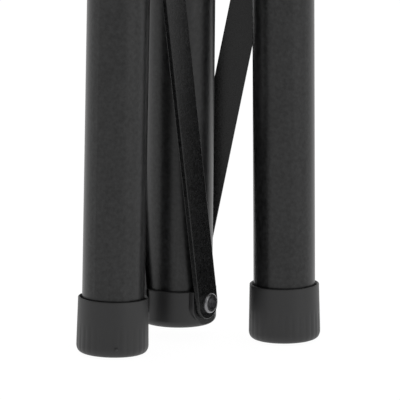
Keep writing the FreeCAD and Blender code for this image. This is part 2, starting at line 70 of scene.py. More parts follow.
def meshPiece(name, points, faces, material, body):
    mesh = bpy.data.meshes.new(name)
    mesh.from_pydata(points.reshape(-1, 3).tolist(), [], faces.tolist())
    shape = bmesh.new()
    shape.from_mesh(mesh)
    bmesh.ops.remove_doubles(shape, verts=shape.verts, dist=1e-6)
    bmesh.ops.dissolve_degenerate(shape, edges=shape.edges, dist=1e-7)
    bmesh.ops.recalc_face_normals(shape, faces=shape.faces)
    shape.to_mesh(mesh)
    shape.free()
    mesh.polygons.foreach_set("use_smooth", [True] * len(mesh.polygons))
    mesh.materials.append(material)
    piece = bpy.data.objects.new(name, mesh)
    bpy.context.scene.collection.objects.link(piece)
    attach(piece, body)
    return piece


def gridFaces(rows, columns, closeRows=False, closeColumns=True):
    # quads between neighbouring rows and columns of a grid of points
    row = np.arange(rows if closeRows else rows - 1)
    column = np.arange(columns if closeColumns else columns - 1)
    r, c = np.meshgrid(row, column, indexing="ij")
    nextR, nextC = (r + 1) % rows, (c + 1) % columns
    here, beyond = r * columns, nextR * columns
    return np.stack([here + c, here + nextC, beyond + nextC, beyond + c], -1).reshape(-1, 4)


def turned(profile, steps):
    # a profile of (radius, height) rows carried round +Z: x = r cos t, y = r sin t, z = h
    angle = np.linspace(0, 2 * np.pi, steps, endpoint=False)
    radius, height = profile[:, 0][:, None], profile[:, 1][:, None]
    return np.stack([radius * np.cos(angle), radius * np.sin(angle), height + 0 * angle], -1)


def roundedProfile(corners, steps=6):
    # a polyline of (r, z, rounding) corners, each corner swapped for an arc-like curve:
    # a quadratic curve from a point `rounding` before the corner to one as far after it
    out = []
    for index, (r, z, rounding) in enumerate(corners):
        here = np.array([r, z])
        if rounding <= 0 or index in (0, len(corners) - 1):
            out.append(here[None])
            continue
        before = np.array(corners[index - 1][:2]) - here
        after = np.array(corners[index + 1][:2]) - here
        start = here + before / np.linalg.norm(before) * rounding
        end = here + after / np.linalg.norm(after) * rounding
        t = np.linspace(0, 1, steps)[:, None]
        out.append((1 - t) ** 2 * start + 2 * t * (1 - t) * here + t ** 2 * end)
    return np.concatenate(out)


def filled(profile, gap):
    # the same line with points added so that none are further apart than gap
    out = [profile[:1]]
    for a, b in zip(profile[:-1], profile[1:]):
        count = max(1, int(math.ceil(np.linalg.norm(b - a) / gap)))
        t = np.linspace(0, 1, count + 1)[1:, None]
        out.append(a + (b - a) * t)
    return np.concatenate(out)


def carried(path, across, up, radii, sides):
    # a round section carried along a path: p + r (across cos t + up sin t)
    angle = np.linspace(0, 2 * np.pi, sides, endpoint=False)
    radii = np.broadcast_to(radii, path.shape[:1])[:, None, None]
    ring = across[:, None, :] * np.cos(angle)[:, None] + up[:, None, :] * np.sin(angle)[:, None]
    return path[:, None, :] + radii * ring


def placed(points, matrix):
    flat = points.reshape(-1, 3)
    moved = flat @ np.array(matrix.to_3x3()).T + np.array(matrix.translation)
    return moved.reshape(points.shape)


def axisFrame(origin, axis, side):
    # a frame whose +Z is axis and whose +X is as near to side as it can be
    z = Vector(axis).normalized()
    x = (Vector(side) - z * Vector(side).dot(z)).normalized()
    y = z.cross(x)
    matrix = Matrix((x, y, z)).transposed().to_4x4()
    matrix.translation = Vector(origin)
    return matrix


# materials

def newMaterial(name, colour, roughness, metallic=0.0, **sockets):
    material = bpy.data.materials.new(name)
    material.use_nodes = True
    tree = material.node_tree
    shader = tree.nodes["Principled BSDF"]
    shader.inputs["Base Color"].default_value = (*colour, 1)
    shader.inputs["Roughness"].default_value = roughness
    shader.inputs["Metallic"].default_value = metallic
    for socket, value in sockets.items():
        shader.inputs[socket.replace("_", " ")].default_value = value
    material.diffuse_color = (*colour, 1)
    return material, tree, shader


def node(tree, kind, inputs=None, **settings):
    made = tree.nodes.new(kind)
    for key, value in settings.items():
        setattr(made, key, value)
    for key, value in (inputs or {}).items():
        if isinstance(value, bpy.types.NodeSocket):
            tree.links.new(value, made.inputs[key])
        else:
            made.inputs[key].default_value = value
    return made


def objectPoint(tree, scale=(1, 1, 1)):
    where = node(tree, "ShaderNodeTexCoord").outputs["Object"]
    return node(tree, "ShaderNodeMapping", {"Vector": where, "Scale": scale}).outputs[0]


def noise(tree, where, scale, detail=3.0, roughness=0.5):
    inputs = {"Vector": where, "Scale": scale, "Detail": detail, "Roughness": roughness}
    return node(tree, "ShaderNodeTexNoise", inputs).outputs[0]


def spread(tree, value, fromMin, fromMax, toMin, toMax):
    made = node(tree, "ShaderNodeMapRange", {0: value, 1: fromMin, 2: fromMax, 3: toMin, 4: toMax})
    return made.outputs[0]


def calc(tree, operation, a, b=0.0, c=0.0):
    return node(tree, "ShaderNodeMath", {0: a, 1: b, 2: c}, operation=operation).outputs[0]


def blendColour(tree, share, a, b):
    made = node(tree, "ShaderNodeMix", {0: share, 6: a, 7: b}, data_type="RGBA")
    return made.outputs[2]


def bump(tree, shader, height, distance, strength=1.0, under=None):
    inputs = {"Height": height, "Distance": distance, "Strength": strength}
    if under is not None:
        inputs["Normal"] = under
    made = node(tree, "ShaderNodeBump", inputs)
    tree.links.new(made.outputs[0], shader.inputs["Normal"])
    return made.outputs[0]


def joinTo(tree, value, shader, socket):
    tree.links.new(value, shader.inputs[socket])


coat = {"colour": (0.0025, 0.0026, 0.0027), "paler": (0.0185, 0.0187, 0.0192),
        "rubbed": (0.030, 0.0302, 0.031), "grain": 620.0, "roughness": 0.33, "gloss": 0.40,
        "peel": 1150.0, "peelDepth": 0.05 * mm, "nib": 5200.0, "nibDepth": 0.02 * mm,
        "cloud": 60.0, "streak": (240, 240, 9), "cloudShare": 0.28, "sheenRange": 0.10}


def powderCoat(name, look):
    # powder coat: an orange-peel surface, a soft mottle, a few dust nibs and long rub marks
    material, tree, shader = newMaterial(name, look["colour"], look["roughness"],
                                         Specular_IOR_Level=look["gloss"])
    where = objectPoint(tree)
    cloud = noise(tree, where, look["cloud"], 4.0, 0.6)
    grain = noise(tree, where, look["grain"], 2.5, 0.6)
    soft = calc(tree, "MULTIPLY", cloud, look["cloudShare"])
    mottle = calc(tree, "MULTIPLY_ADD", grain, 1 - look["cloudShare"], soft)
    streak = noise(tree, objectPoint(tree, look["streak"]), 1.0, 5.0, 0.65)
    rub = spread(tree, streak, 0.66, 0.80, 0.0, 0.55)
    pale = spread(tree, mottle, 0.36, 0.66, 0.0, 1.0)
    colour = blendColour(tree, pale, (*look["colour"], 1), (*look["paler"], 1))
    colour = blendColour(tree, rub, colour, (*look["rubbed"], 1))
    joinTo(tree, colour, shader, "Base Color")
    reach = look["sheenRange"]
    sheen = calc(tree, "MULTIPLY_ADD", mottle, reach, look["roughness"] - reach / 2)
    joinTo(tree, calc(tree, "MULTIPLY_ADD", rub, -reach, sheen), shader, "Roughness")
    peel = noise(tree, where, look["peel"], 2.0, 0.4)
    nib = spread(tree, noise(tree, where, look["nib"], 1.0, 0.5), 0.74, 0.80, 0.0, 1.0)
    first = bump(tree, shader, peel, look["peelDepth"], 0.6)
    bump(tree, shader, nib, look["nibDepth"], 0.35, first)
    return material


tubeCoat = powderCoat("tubeCoat", coat)
barCoat = powderCoat("barCoat", {**coat, "paler": (0.0110, 0.0112, 0.0115), "gloss": 0.32,
                                 "rubbed": (0.018, 0.0182, 0.019), "roughness": 0.27})

moulded = {"colour": (0.0060, 0.0060, 0.0063), "paler": (0.0125, 0.0125, 0.013),
           "roughness": 0.46, "grain": 1500.0, "grainDepth": 0.03 * mm, "cloud": 45.0,
           "scuff": (60, 60, 420), "scuffTone": 1.8, "sheenRange": 0.16}


def mouldedPlastic(name, look):
    # moulded nylon or polypropylene: spark-eroded grain, flow clouds and faint scuffs
    material, tree, shader = newMaterial(name, look["colour"], look["roughness"], IOR=1.5)
    where = objectPoint(tree)
    cloud = noise(tree, where, look["cloud"], 5.0, 0.6)
    scratches = noise(tree, objectPoint(tree, look["scuff"]), 1.0, 6.0, 0.7)
    scuff = spread(tree, scratches, 0.63, 0.78, 0.0, 0.6)
    colour = blendColour(tree, cloud, (*look["colour"], 1), (*look["paler"], 1))
    scuffed = tuple(c * look["scuffTone"] for c in look["paler"]) + (1,)
    joinTo(tree, blendColour(tree, scuff, colour, scuffed), shader, "Base Color")
    reach = look["sheenRange"]
    rough = calc(tree, "MULTIPLY_ADD", cloud, reach, look["roughness"] - reach / 2)
    joinTo(tree, rough, shader, "Roughness")
    bump(tree, shader, noise(tree, where, look["grain"], 3.0, 0.6), look["grainDepth"], 0.5)
    return material


hubPlastic = mouldedPlastic("hubPlastic", moulded)
capVinyl = mouldedPlastic("capVinyl", {**moulded, "paler": (0.0240, 0.0240, 0.0247),
                                       "roughness": 0.50, "grain": 900.0})
guideNylon = mouldedPlastic("guideNylon", {**moulded, "colour": (0.13, 0.13, 0.125),
                                           "paler": (0.18, 0.18, 0.17), "roughness": 0.44,
                                           "grain": 1100.0})

plated = {"colour": (0.56, 0.57, 0.58), "dark": (0.33, 0.34, 0.36), "roughness": 0.30,
          "cloud": 260.0, "lines": (300, 300, 6000), "lineShare": 0.4, "lineDepth": 0.006 * mm}


def platedSteel(name, look):
    # zinc plate: cloudy, with fine turning marks and dull spots
    material, tree, shader = newMaterial(name, look["colour"], look["roughness"], 1.0)
    where = objectPoint(tree)
    cloud = noise(tree, where, look["cloud"], 6.0, 0.65)
    lines = noise(tree, objectPoint(tree, look["lines"]), 1.0, 3.0, 0.5)
    dull = calc(tree, "MULTIPLY_ADD", lines, look["lineShare"], cloud)
    share = spread(tree, dull, 0.45, 0.95, 0.0, 1.0)
    colour = blendColour(tree, share, (*look["colour"], 1), (*look["dark"], 1))
    joinTo(tree, colour, shader, "Base Color")
    rough = calc(tree, "MULTIPLY_ADD", cloud, 0.30, look["roughness"] - 0.12)
    joinTo(tree, rough, shader, "Roughness")
    bump(tree, shader, lines, look["lineDepth"], 0.5)
    return material


zincPlate = platedSteel("zincPlate", plated)
darkZinc = platedSteel("darkZinc", {**plated, "colour": (0.36, 0.36, 0.37),
                                    "dark": (0.14, 0.14, 0.145)})
insertBrass = platedSteel("insertBrass", {**plated, "colour": (0.62, 0.46, 0.20),
                                          "dark": (0.36, 0.25, 0.11), "roughness": 0.33})


plywood = {"pale": (0.60, 0.44, 0.26, 1), "dark": (0.36, 0.23, 0.12, 1), "plies": 5,
           "edgePale": (0.56, 0.41, 0.25, 1), "edgeDark": (0.27, 0.17, 0.095, 1),
           "roughness": 0.62, "fibres": (260, 14, 260), "rings": (15, 2.2, 15),
           "grainDepth": 0.12 * mm}


def plywoodMaterial(look):
    # plywood: long grain on the faces, plies of turned grain at the edge
    material, tree, shader = newMaterial("seatPlywood", look["pale"][:3], look["roughness"])
    low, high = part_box("seat_board")
    fibres = noise(tree, objectPoint(tree, look["fibres"]), 1.0, 6.0, 0.6)
    bent = {"Vector": objectPoint(tree, look["rings"]), "Scale": 1.0, "Distortion": 7.0,
            "Detail": 3.0, "Detail Scale": 1.6}
    rings = node(tree, "ShaderNodeTexWave", bent, wave_type="BANDS", bands_direction="X").outputs[1]
    grain = calc(tree, "MULTIPLY_ADD", fibres, 0.8, calc(tree, "MULTIPLY", rings, 0.16))
    face = blendColour(tree, spread(tree, grain, 0.25, 0.80, 0.0, 1.0), look["pale"], look["dark"])
    height = node(tree, "ShaderNodeSeparateXYZ", {0: objectPoint(tree)}).outputs[2]
    ply = calc(tree, "DIVIDE", calc(tree, "SUBTRACT", height, low.z), (high.z - low.z) / look["plies"])
    second = calc(tree, "GREATER_THAN", calc(tree, "MODULO", ply, 2.0), 1.0)
    edge = blendColour(tree, second, look["edgePale"], look["edgeDark"])
    facing = node(tree, "ShaderNodeNewGeometry").outputs["Normal"]
    upward = node(tree, "ShaderNodeSeparateXYZ", {0: facing}).outputs[2]
    flat = spread(tree, calc(tree, "ABSOLUTE", upward), 0.45, 0.55, 0.0, 1.0)
    joinTo(tree, blendColour(tree, flat, edge, face), shader, "Base Color")
    bump(tree, shader, grain, look["grainDepth"], 0.5)
    return material


seatPlywood = plywoodMaterial(plywood)

cloth = {"colour": (0.020, 0.021, 0.018), "thread": (0.044, 0.046, 0.039), "roughness": 0.78,
         "pitch": 0.95 * mm, "depth": 0.22 * mm, "slub": (900, 60, 1), "fade": 9.0,
         "crease": 38.0, "creaseDepth": 0.8 * mm, "hollowShadeTone": 0.45, "wornTone": 1.35,
         "sheen": 0.12, "sheenRoughness": 0.45}


def wovenCloth(name, look):
    # plain weave on the piece's own UV, which is in metres: warp and weft are two sets of ridges,
    # and a checker says which of them is on top; the low hollows between threads get painted shade
    material, tree, shader = newMaterial(name, look["colour"], look["roughness"])
    shader.inputs["Sheen Weight"].default_value = look["sheen"]
    shader.inputs["Sheen Roughness"].default_value = look["sheenRoughness"]
    where = node(tree, "ShaderNodeUVMap", uv_map="cloth").outputs[0]
    parts = node(tree, "ShaderNodeSeparateXYZ", {0: where})
    turns = math.pi / look["pitch"]
    warp = calc(tree, "ABSOLUTE", calc(tree, "SINE", calc(tree, "MULTIPLY", parts.outputs[0], turns)))
    weft = calc(tree, "ABSOLUTE", calc(tree, "SINE", calc(tree, "MULTIPLY", parts.outputs[1], turns)))
    squares = {"Vector": where, "Scale": 1 / look["pitch"], "Color1": (1, 1, 1, 1),
               "Color2": (0, 0, 0, 1)}
    over = node(tree, "ShaderNodeTexChecker", squares).outputs[1]
    lift = node(tree, "ShaderNodeMix", {0: over, 2: weft, 3: warp}, data_type="FLOAT").outputs[0]
    drawn = node(tree, "ShaderNodeMapping", {"Vector": where, "Scale": look["slub"]}).outputs[0]
    slub = spread(tree, noise(tree, drawn, 1.0, 3.0), 0.3, 0.7, 0.55, 1.0)
    fade = noise(tree, objectPoint(tree), look["fade"], 4.0, 0.6)
    # painted shade: where the weave is low (small lift) the colour falls to a darker copy of the cloth colour,
    # standing in for shade in the hollows; raised threads take the thread colour
    hollow = tuple(c * look["hollowShadeTone"] for c in look["colour"]) + (1,)
    bleached = tuple(c * look["wornTone"] for c in look["thread"]) + (1,)
    colour = blendColour(tree, calc(tree, "MULTIPLY", lift, slub), hollow, (*look["thread"], 1))
    worn = blendColour(tree, spread(tree, fade, 0.40, 0.75, 0.0, 0.45), colour, bleached)
    joinTo(tree, worn, shader, "Base Color")
    rough = spread(tree, fade, 0.3, 0.8, look["roughness"] + 0.06, look["roughness"] - 0.08)
    joinTo(tree, rough, shader, "Roughness")
    folds = noise(tree, objectPoint(tree), look["crease"], 3.0, 0.5)
    crease = bump(tree, shader, folds, look["creaseDepth"], 0.25)
    bump(tree, shader, lift, look["depth"], 0.8, crease)
    return material


seatCloth = wovenCloth("seatCloth", cloth)
weltCloth = wovenCloth("weltCloth", {**cloth, "colour": (0.020, 0.021, 0.019), "pitch": 0.8 * mm,
                                     "thread": (0.045, 0.047, 0.041)})
threadMaterial = wovenCloth("stitchThread", {**cloth, "colour": (0.10, 0.105, 0.09),
                                             "thread": (0.20, 0.21, 0.18), "pitch": 0.35 * mm})

finishes = {
    "black_powder_coat": tubeCoat, "strut_paint": barCoat, "black_plastic": hubPlastic,
    "black_rubber": capVinyl, "rivet_steel": darkZinc, "zinc_steel": zincPlate,
    "brass_insert": insertBrass, "nylon": guideNylon, "plywood": seatPlywood,
    "seat_fabric": seatCloth,
}
for entry in frame["record"]["subparts"]:
    surface = nodes[entry["node"]].data.materials
    surface.clear()
    surface.append(finishes[entry["material_slot"]])
print("materials made,", len(bpy.data.materials), "in all")


# foot caps

footCap = {"steps": 360, "flutes": 30, "fluteDepth": 0.10 * mm, "fluteTop": 13.5 * mm,
           "height": 23.1 * mm, "rimRadius": 14.3 * mm, "soleRadius": 14.8 * mm,
           "corner": 3.6 * mm, "rimCorner": 0.45 * mm, "mouth": 0.9 * mm, "mouthCorner": 0.25 * mm,
           "mouthDepth": 1.17 * mm, "boreRadius": 12.72 * mm, "floor": 3.2 * mm,
           "treads": 3, "treadDepth": 0.5 * mm}
nub = {"radius": 0.8 * mm, "height": 0.75 * mm, "skirt": 0.8 * mm, "sunk": 0.30 * mm,
       "up": 4.0 * mm, "turn": 43, "steps": 20}


def footCapPiece(arm):
    # a profile of radius against height carried round the leg's axis; the radius below fluteTop is
    # made smaller by depth x (1 + cos(flutes x angle)) / 2, faded in over the lower half
    f = footCap
    outline = [(0.0, 0.0, 0), (f["soleRadius"], 0.0, f["corner"]),
               (f["rimRadius"], f["height"], f["rimCorner"]),
               (f["boreRadius"] + f["mouth"], f["height"], f["mouthCorner"]),
               (f["boreRadius"], f["height"] - f["mouthDepth"], 0),
               (f["boreRadius"], f["floor"], 0), (0.0, f["floor"], 0)]
    profile = filled(roundedProfile(outline, 10), 0.7 * mm)
    points = turned(profile, f["steps"])
    angle = np.linspace(0, 2 * np.pi, f["steps"], endpoint=False)[None, :]
    radius, height = profile[:, 0][:, None], profile[:, 1][:, None]
    outside = (radius > f["boreRadius"] + 0.5 * f["mouth"]) * (height > 0.4 * mm)
    fade = np.clip((f["fluteTop"] - height) / (3 * mm), 0, 1) * np.clip(height / (2 * mm), 0, 1)
    flute = f["fluteDepth"] * (0.5 + 0.5 * np.cos(f["flutes"] * angle)) ** 2
    points[..., :2] *= 1 - (flute * fade * outside / np.maximum(radius, mm))[..., None]
    # under the sole, treads rings are raised by depth x (1 - cos(2 pi treads r / R)) / 2
    flat = f["soleRadius"] - f["corner"]
    under = (height < 0.01 * mm) * (radius < flat)
    ring = 0.5 - 0.5 * np.cos(2 * np.pi * f["treads"] * np.clip(radius / flat, 0, 1))
    points[..., 2] += under * f["treadDepth"] * ring
    sole = mounts[f"sole_{arm}"]
    out = Vector(sole["pos_m"])
    legFrame = axisFrame(out, -Vector(sole["axis"]), Vector((out.x, out.y, 0)))
    faces = gridFaces(len(profile), f["steps"])
    cap = meshPiece(f"footCapShell_{arm}", placed(points, legFrame), faces, capVinyl,
                    f"leg_{arm}")
    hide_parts(f"foot_cap_{arm}")
    return legFrame


def mouldNub(arm, legFrame):
    # the gate mark: a small dome, radius r cos t against height h sin t, on the cap's lower side
    quarter = np.linspace(np.pi / 2, 0, 7)
    dome = np.stack([nub["radius"] * np.cos(quarter), nub["height"] * np.sin(quarter)], -1)
    skirt = np.array([[nub["radius"], -nub["skirt"]]])
    points = turned(np.concatenate([dome, skirt]), nub["steps"])
    turn = Matrix.Rotation(math.radians(nub["turn"]), 4, "Z")
    at = axisFrame((footCap["soleRadius"] - nub["sunk"], 0, nub["up"]), (1, 0, 0), (0, 0, 1))
    meshPiece(f"footCapGate_{arm}", placed(points, legFrame @ turn @ at),
              gridFaces(len(points), nub["steps"]), capVinyl, f"leg_{arm}")


for arm in arms:
    mouldNub(arm, footCapPiece(arm))
print("foot caps made")


# seat

boardLow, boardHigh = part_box("seat_board")
cushionLow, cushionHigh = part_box("seat_cushion")
seat = {"radius": cushionHigh.x - 4.2 * mm, "low": cushionLow.z + 1.5 * mm, "lowCorner": 6 * mm,
        "crown": 13.5 * mm, "crownPower": 3.4, "crownRows": 44, "steps": 180,
        "voxel": 5 * mm, "pressure": 4.0, "stretch": 40, "shear": 20, "bend": 4,
        "lastFrame": 20, "cap": 6 * mm, "held": 1 * mm,
        "upperWelt": cushionHigh.z - 19 * mm, "lowerWelt": cushionLow.z + 9 * mm}
seam = {"ring": cushionHigh.x - 3.4 * mm, "radius": 2.1 * mm, "inset": 1.0 * mm, "free": 8 * mm,
        "pinch": 6.0 * mm, "inward": 0.95, "level": 0.5, "puckers": (92, 57, 17),
        "puckerDepth": 0.45 * mm, "puckerReach": 9 * mm, "topMargin": 2 * mm,
        "steps": 720, "sides": 14}
dish = {"depth": 2.5 * mm, "aside": 12 * mm, "back": 8 * mm, "width": 82 * mm,
        "ripple": 0.5 * mm, "rippleEdge": 150 * mm, "fadeIn": 8 * mm,
        "gap": 0.3 * mm, "clear": 0.6 * mm, "depthOver": 4 * mm}


def swollenPad():
    # a turned disc with rounded edges, remeshed and blown up a little as cloth, no point moving
    # more than cap; its crown is z = welt + crown (1 - (r / R)^p)^0.75
    outline = [(0.0, seat["low"], 0), (seat["radius"], seat["low"], seat["lowCorner"]),
               (seat["radius"], seat["upperWelt"], 0)]
    sides = filled(roundedProfile(outline, 8), seat["voxel"])
    share = np.cos(np.linspace(0, np.pi / 2, seat["crownRows"])[1:]) ** 0.8
    rise = seat["crown"] * np.maximum(0, 1 - share ** seat["crownPower"]) ** 0.75
    crown = np.stack([seat["radius"] * share, seat["upperWelt"] + rise], -1)
    profile = np.concatenate([sides, crown])
    pad = meshPiece("seatPad", turned(profile, seat["steps"]), gridFaces(len(profile), seat["steps"]),
                    seatCloth, "seat")
    remesh = pad.modifiers.new("remesh", "REMESH")
    remesh.mode = "VOXEL"
    remesh.voxel_size = seat["voxel"]
    bpy.context.view_layer.objects.active = pad
    pad.select_set(True)
    bpy.ops.object.modifier_apply(modifier="remesh")
    start = meshPoints(pad.data)
    held = pad.vertex_groups.new(name="onBoard")
    onBoard = np.nonzero(start[:, 2] < boardHigh.z + seat["held"])[0]
    held.add(onBoard.tolist(), 1.0, "REPLACE")
    blow = pad.modifiers.new("blow", "CLOTH")
    blow.settings.use_pressure = True
    blow.settings.uniform_pressure_force = seat["pressure"]
    blow.settings.effector_weights.gravity = 0
    blow.settings.vertex_group_mass = "onBoard"
    blow.settings.tension_stiffness = seat["stretch"]
    blow.settings.compression_stiffness = seat["stretch"]
    blow.settings.shear_stiffness = seat["shear"]
    blow.settings.bending_stiffness = seat["bend"]
    for step in range(1, seat["lastFrame"] + 1):
        bpy.context.scene.frame_set(step)
    bpy.ops.object.modifier_apply(modifier="blow")
    bpy.context.scene.frame_set(1)
    move = meshPoints(pad.data) - start
    length = np.linalg.norm(move, axis=1, keepdims=True)
    capped = start + move * np.minimum(1, seat["cap"] / np.maximum(length, 1e-9))
    print("seat pad blown, moved up to", round(float(length.max()) / mm, 1), "mm before the cap")
    pad.data.vertices.foreach_set("co", capped.ravel())
    finer = pad.modifiers.new("finer", "SUBSURF")
    finer.levels = finer.render_levels = 1
    bpy.ops.object.modifier_apply(modifier="finer")
    pad.select_set(False)
    return pad


def seamed(points):
    # near each welt the surface is drawn to the welt's ring by exp(-(d/pinch)^2); beside it the cloth
    # puckers in and out as a sum of cos(n t), fading with distance, and the top sinks where it is
    # sat on by depth exp(-(d/width)^2), with a shallow ripple sin(x + sin y) cos(y)
    x, y, z = points.T
    radius, angle = np.hypot(x, y), np.arctan2(y, x)
    thin = np.maximum(radius, mm)
    out = points.copy()
    many, some, few = seam["puckers"]
    wave = np.cos(many * angle) + 0.6 * np.cos(some * angle + 1.3) + 0.5 * np.cos(few * angle + 0.4)
    for height in (seat["upperWelt"], seat["lowerWelt"]):
        gap = np.hypot(np.maximum(0, seam["ring"] - radius - seam["free"]), z - height)
        pull = np.exp(-(gap / seam["pinch"]) ** 2)
        inward = pull * seam["inward"] * (seam["ring"] - seam["inset"] - radius)
        beside = np.exp(-((gap - seam["free"]) / seam["puckerReach"]) ** 2)
        pucker = seam["puckerDepth"] * wave * beside
        onTop = z > seat["upperWelt"] + seam["topMargin"]
        out[:, :2] *= (1 + (inward + pucker) / thin)[:, None]
        out[:, 2] += seam["level"] * pull * (height - z) + np.where(onTop, pucker, 0)
    sunk = np.exp(-(np.hypot(x - dish["aside"], y + dish["back"]) / dish["width"]) ** 2)
    ripple = np.sin(x / (19 * mm) + 1.7 * np.sin(y / (31 * mm))) * np.cos(y / (23 * mm) + 0.8)
    ripple = dish["ripple"] * ripple * np.exp(-(radius / dish["rippleEdge"]) ** 6)
    up = np.clip((z - seat["upperWelt"]) / dish["fadeIn"], 0, 1)
    out[:, 2] -= up * (dish["depth"] * sunk - ripple)
    # the underside lies on the board, and its skirt goes down round the board's edge
    inside = np.hypot(out[:, 0], out[:, 1]) < boardHigh.x + dish["clear"]
    hollow = inside & (out[:, 2] < boardHigh.z + dish["depthOver"])
    out[:, 2] = np.where(hollow, boardHigh.z + dish["gap"], out[:, 2])
    return out


def loopPoints(mesh):
    # the place of each face corner's vertex
    corner = np.empty(len(mesh.loops), int)
    mesh.loops.foreach_get("vertex_index", corner)
    return meshPoints(mesh)[corner]


def clothMap(piece, ring=math.inf):
    # cloth UV in metres: the top and underside are x and y; a band round a ring is arc length
    # and height
    mesh = piece.data
    layer = mesh.uv_layers.new(name="cloth")
    here = loopPoints(mesh)
    starts, totals = np.empty(len(mesh.polygons), int), np.empty(len(mesh.polygons), int)
    mesh.polygons.foreach_get("loop_start", starts)
    mesh.polygons.foreach_get("loop_total", totals)
    centres = np.add.reduceat(here, starts) / totals[:, None]
    face = np.repeat(np.arange(len(totals)), totals)
    side = (np.hypot(centres[:, 0], centres[:, 1]) > ring - 6 * mm) \
        & (centres[:, 2] < seat["upperWelt"]) & (centres[:, 2] > cushionLow.z)
    middle = np.arctan2(centres[:, 1], centres[:, 0])[face]
    turn = np.arctan2(here[:, 1], here[:, 0]) - middle
    turn = (turn + np.pi) % (2 * np.pi) - np.pi + middle
    band = np.stack([turn * seam["ring"], here[:, 2]], -1)
    uv = np.where(side[face][:, None], band, here[:, :2])
    layer.data.foreach_set("uv", uv.ravel())


def welt(name, height):
    # piping: a round section carried round a circle, its radius swelling a little between stitches;
    # its cloth is cut on the bias: u and v are the arc length plus and minus the height
    turn = np.linspace(0, 2 * np.pi, seam["steps"], endpoint=False)
    out = np.stack([np.cos(turn), np.sin(turn), 0 * turn], -1)
    radii = seam["radius"] * (1 + 0.035 * np.cos(150 * turn) + 0.02 * np.cos(41 * turn + 0.7))
    path = out * seam["ring"] + np.array([0, 0, height])
    points = carried(path, out, np.tile([0, 0, 1.0], (len(turn), 1)), radii, seam["sides"])
    faces = gridFaces(len(turn), seam["sides"], True)
    piece = meshPiece(name, points, faces, weltCloth, "seat")
    layer = piece.data.uv_layers.new(name="cloth")
    where = loopPoints(piece.data)
    around = np.arctan2(where[:, 1], where[:, 0]) * seam["ring"]
    bias = np.stack([where[:, 2] + around, where[:, 2] - around], -1)
    layer.data.foreach_set("uv", bias.ravel())


stitch = {"length": 3.1 * mm, "pitch": 4.3 * mm, "thickness": 0.32 * mm, "offset": 4.6 * mm,
          "topInset": 2 * mm, "reach": 1.6 * mm, "search": 7 * mm, "proud": 0.08 * mm}


def padSurface(points):
    # looks up the pad's own surface near a stitched ring: the height of its points (on top) or
    # their radius (on the band), averaged with weights exp(-(distance / reach)^2)
    x, y, z = points.T
    radius, angle = np.hypot(x, y), np.arctan2(y, x)

    def lookup(turn, ring, height, onTop):
        across, value = (radius - ring, z) if onTop else (z - height, radius)
        outer = z > seat["upperWelt"] if onTop else radius > seam["ring"] - stitch["search"]
        near = (np.abs(across) < stitch["search"]) & outer
        gap = (turn.ravel()[:, None] - angle[near] + np.pi) % (2 * np.pi) - np.pi
        weight = np.exp(-((gap * ring) ** 2 + across[near] ** 2) / stitch["reach"] ** 2)
        found = (weight @ value[near] / weight.sum(axis=1)).reshape(turn.shape)
        same = np.ones(turn.shape)
        return (ring * same, found) if onTop else (found, height * same)
    return lookup


def stitches(name, ring, height, lean, onTop, surface):
    # a row of small capsules: each is a path of five points whose ends dip into the cloth by
    # 1.6 thickness |2s|^3, carried six-sided
    count = int(2 * np.pi * ring / stitch["pitch"])
    middle = np.arange(count) * 2 * np.pi / count
    along = np.linspace(-0.5, 0.5, 5)
    dip = stitch["proud"] - 1.6 * stitch["thickness"] * (2 * np.abs(along)) ** 3
    turn = middle[:, None] + along * stitch["length"] / ring
    out = np.stack([np.cos(turn), np.sin(turn), 0 * turn], -1)
    side = np.stack([-np.sin(turn), np.cos(turn), 0 * turn], -1)
    up = np.array([0, 0, 1.0])
    normal = out * np.cos(lean) + up * np.sin(lean)
    across = np.cross(side, normal)
    r, z = surface(turn, ring, height, onTop)
    centre = out * r[..., None] + up * z[..., None] + normal * dip[None, :, None]
    sides = np.linspace(0, 2 * np.pi, 6, endpoint=False)[:, None]
    radii = stitch["thickness"] * np.array([0.45, 1, 1, 1, 0.45])
    section = across[:, :, None, :] * np.cos(sides) + normal[:, :, None, :] * np.sin(sides)
    points = centre[:, :, None, :] + section * radii[None, :, None, None]
    # the two ends of a capsule, each closed with two quads over its six points
    first, last = np.array([[0, 1, 2, 3], [0, 3, 4, 5]]), np.array([[3, 2, 1, 0], [5, 4, 3, 0]]) + 24
    one = np.concatenate([gridFaces(5, 6), first, last])
    every = (one[None] + (np.arange(count) * 30)[:, None, None]).reshape(-1, 4)
    piece = meshPiece(name, points, every, threadMaterial, "seat")
    piece.data.uv_layers.new(name="cloth")


pad = swollenPad()
padPoints = seamed(meshPoints(pad.data))
pad.data.vertices.foreach_set("co", padPoints.ravel())
pad.data.polygons.foreach_set("use_smooth", [True] * len(pad.data.polygons))
pad.data.update()
clothMap(pad, seam["ring"])
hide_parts("seat_cushion")
welt("seatWeltUpper", seat["upperWelt"])
welt("seatWeltLower", seat["lowerWelt"])
onPad = padSurface(padPoints)
topRing = seam["ring"] - stitch["offset"] - stitch["topInset"]
stitches("seatStitchTop", topRing, 0, 1.2, True, onPad)
stitches("seatStitchBand", seam["ring"], seat["upperWelt"] - stitch["offset"], 0.1, False, onPad)
stitches("seatStitchLower", seam["ring"], seat["lowerWelt"] + stitch["offset"], 0.0, False, onPad)
print("seat pad, welts and stitches made")

wrap = {"outer": cushionHigh.x - 8 * mm, "inner": 131 * mm, "rows": 26, "steps": 1104,
        "pleats": 46, "rise": 1.7 * mm, "top": boardLow.z - 0.15 * mm, "thickness": 0.6 * mm,
        "climb": 5.5 * mm, "spread": 2.5 * mm}
staple = {"count": 30, "ring": 137 * mm, "length": 10 * mm, "leg": 2.2 * mm, "bend": 0.5 * mm,
          "drop": 1.1 * mm, "wire": 0.55 * mm}


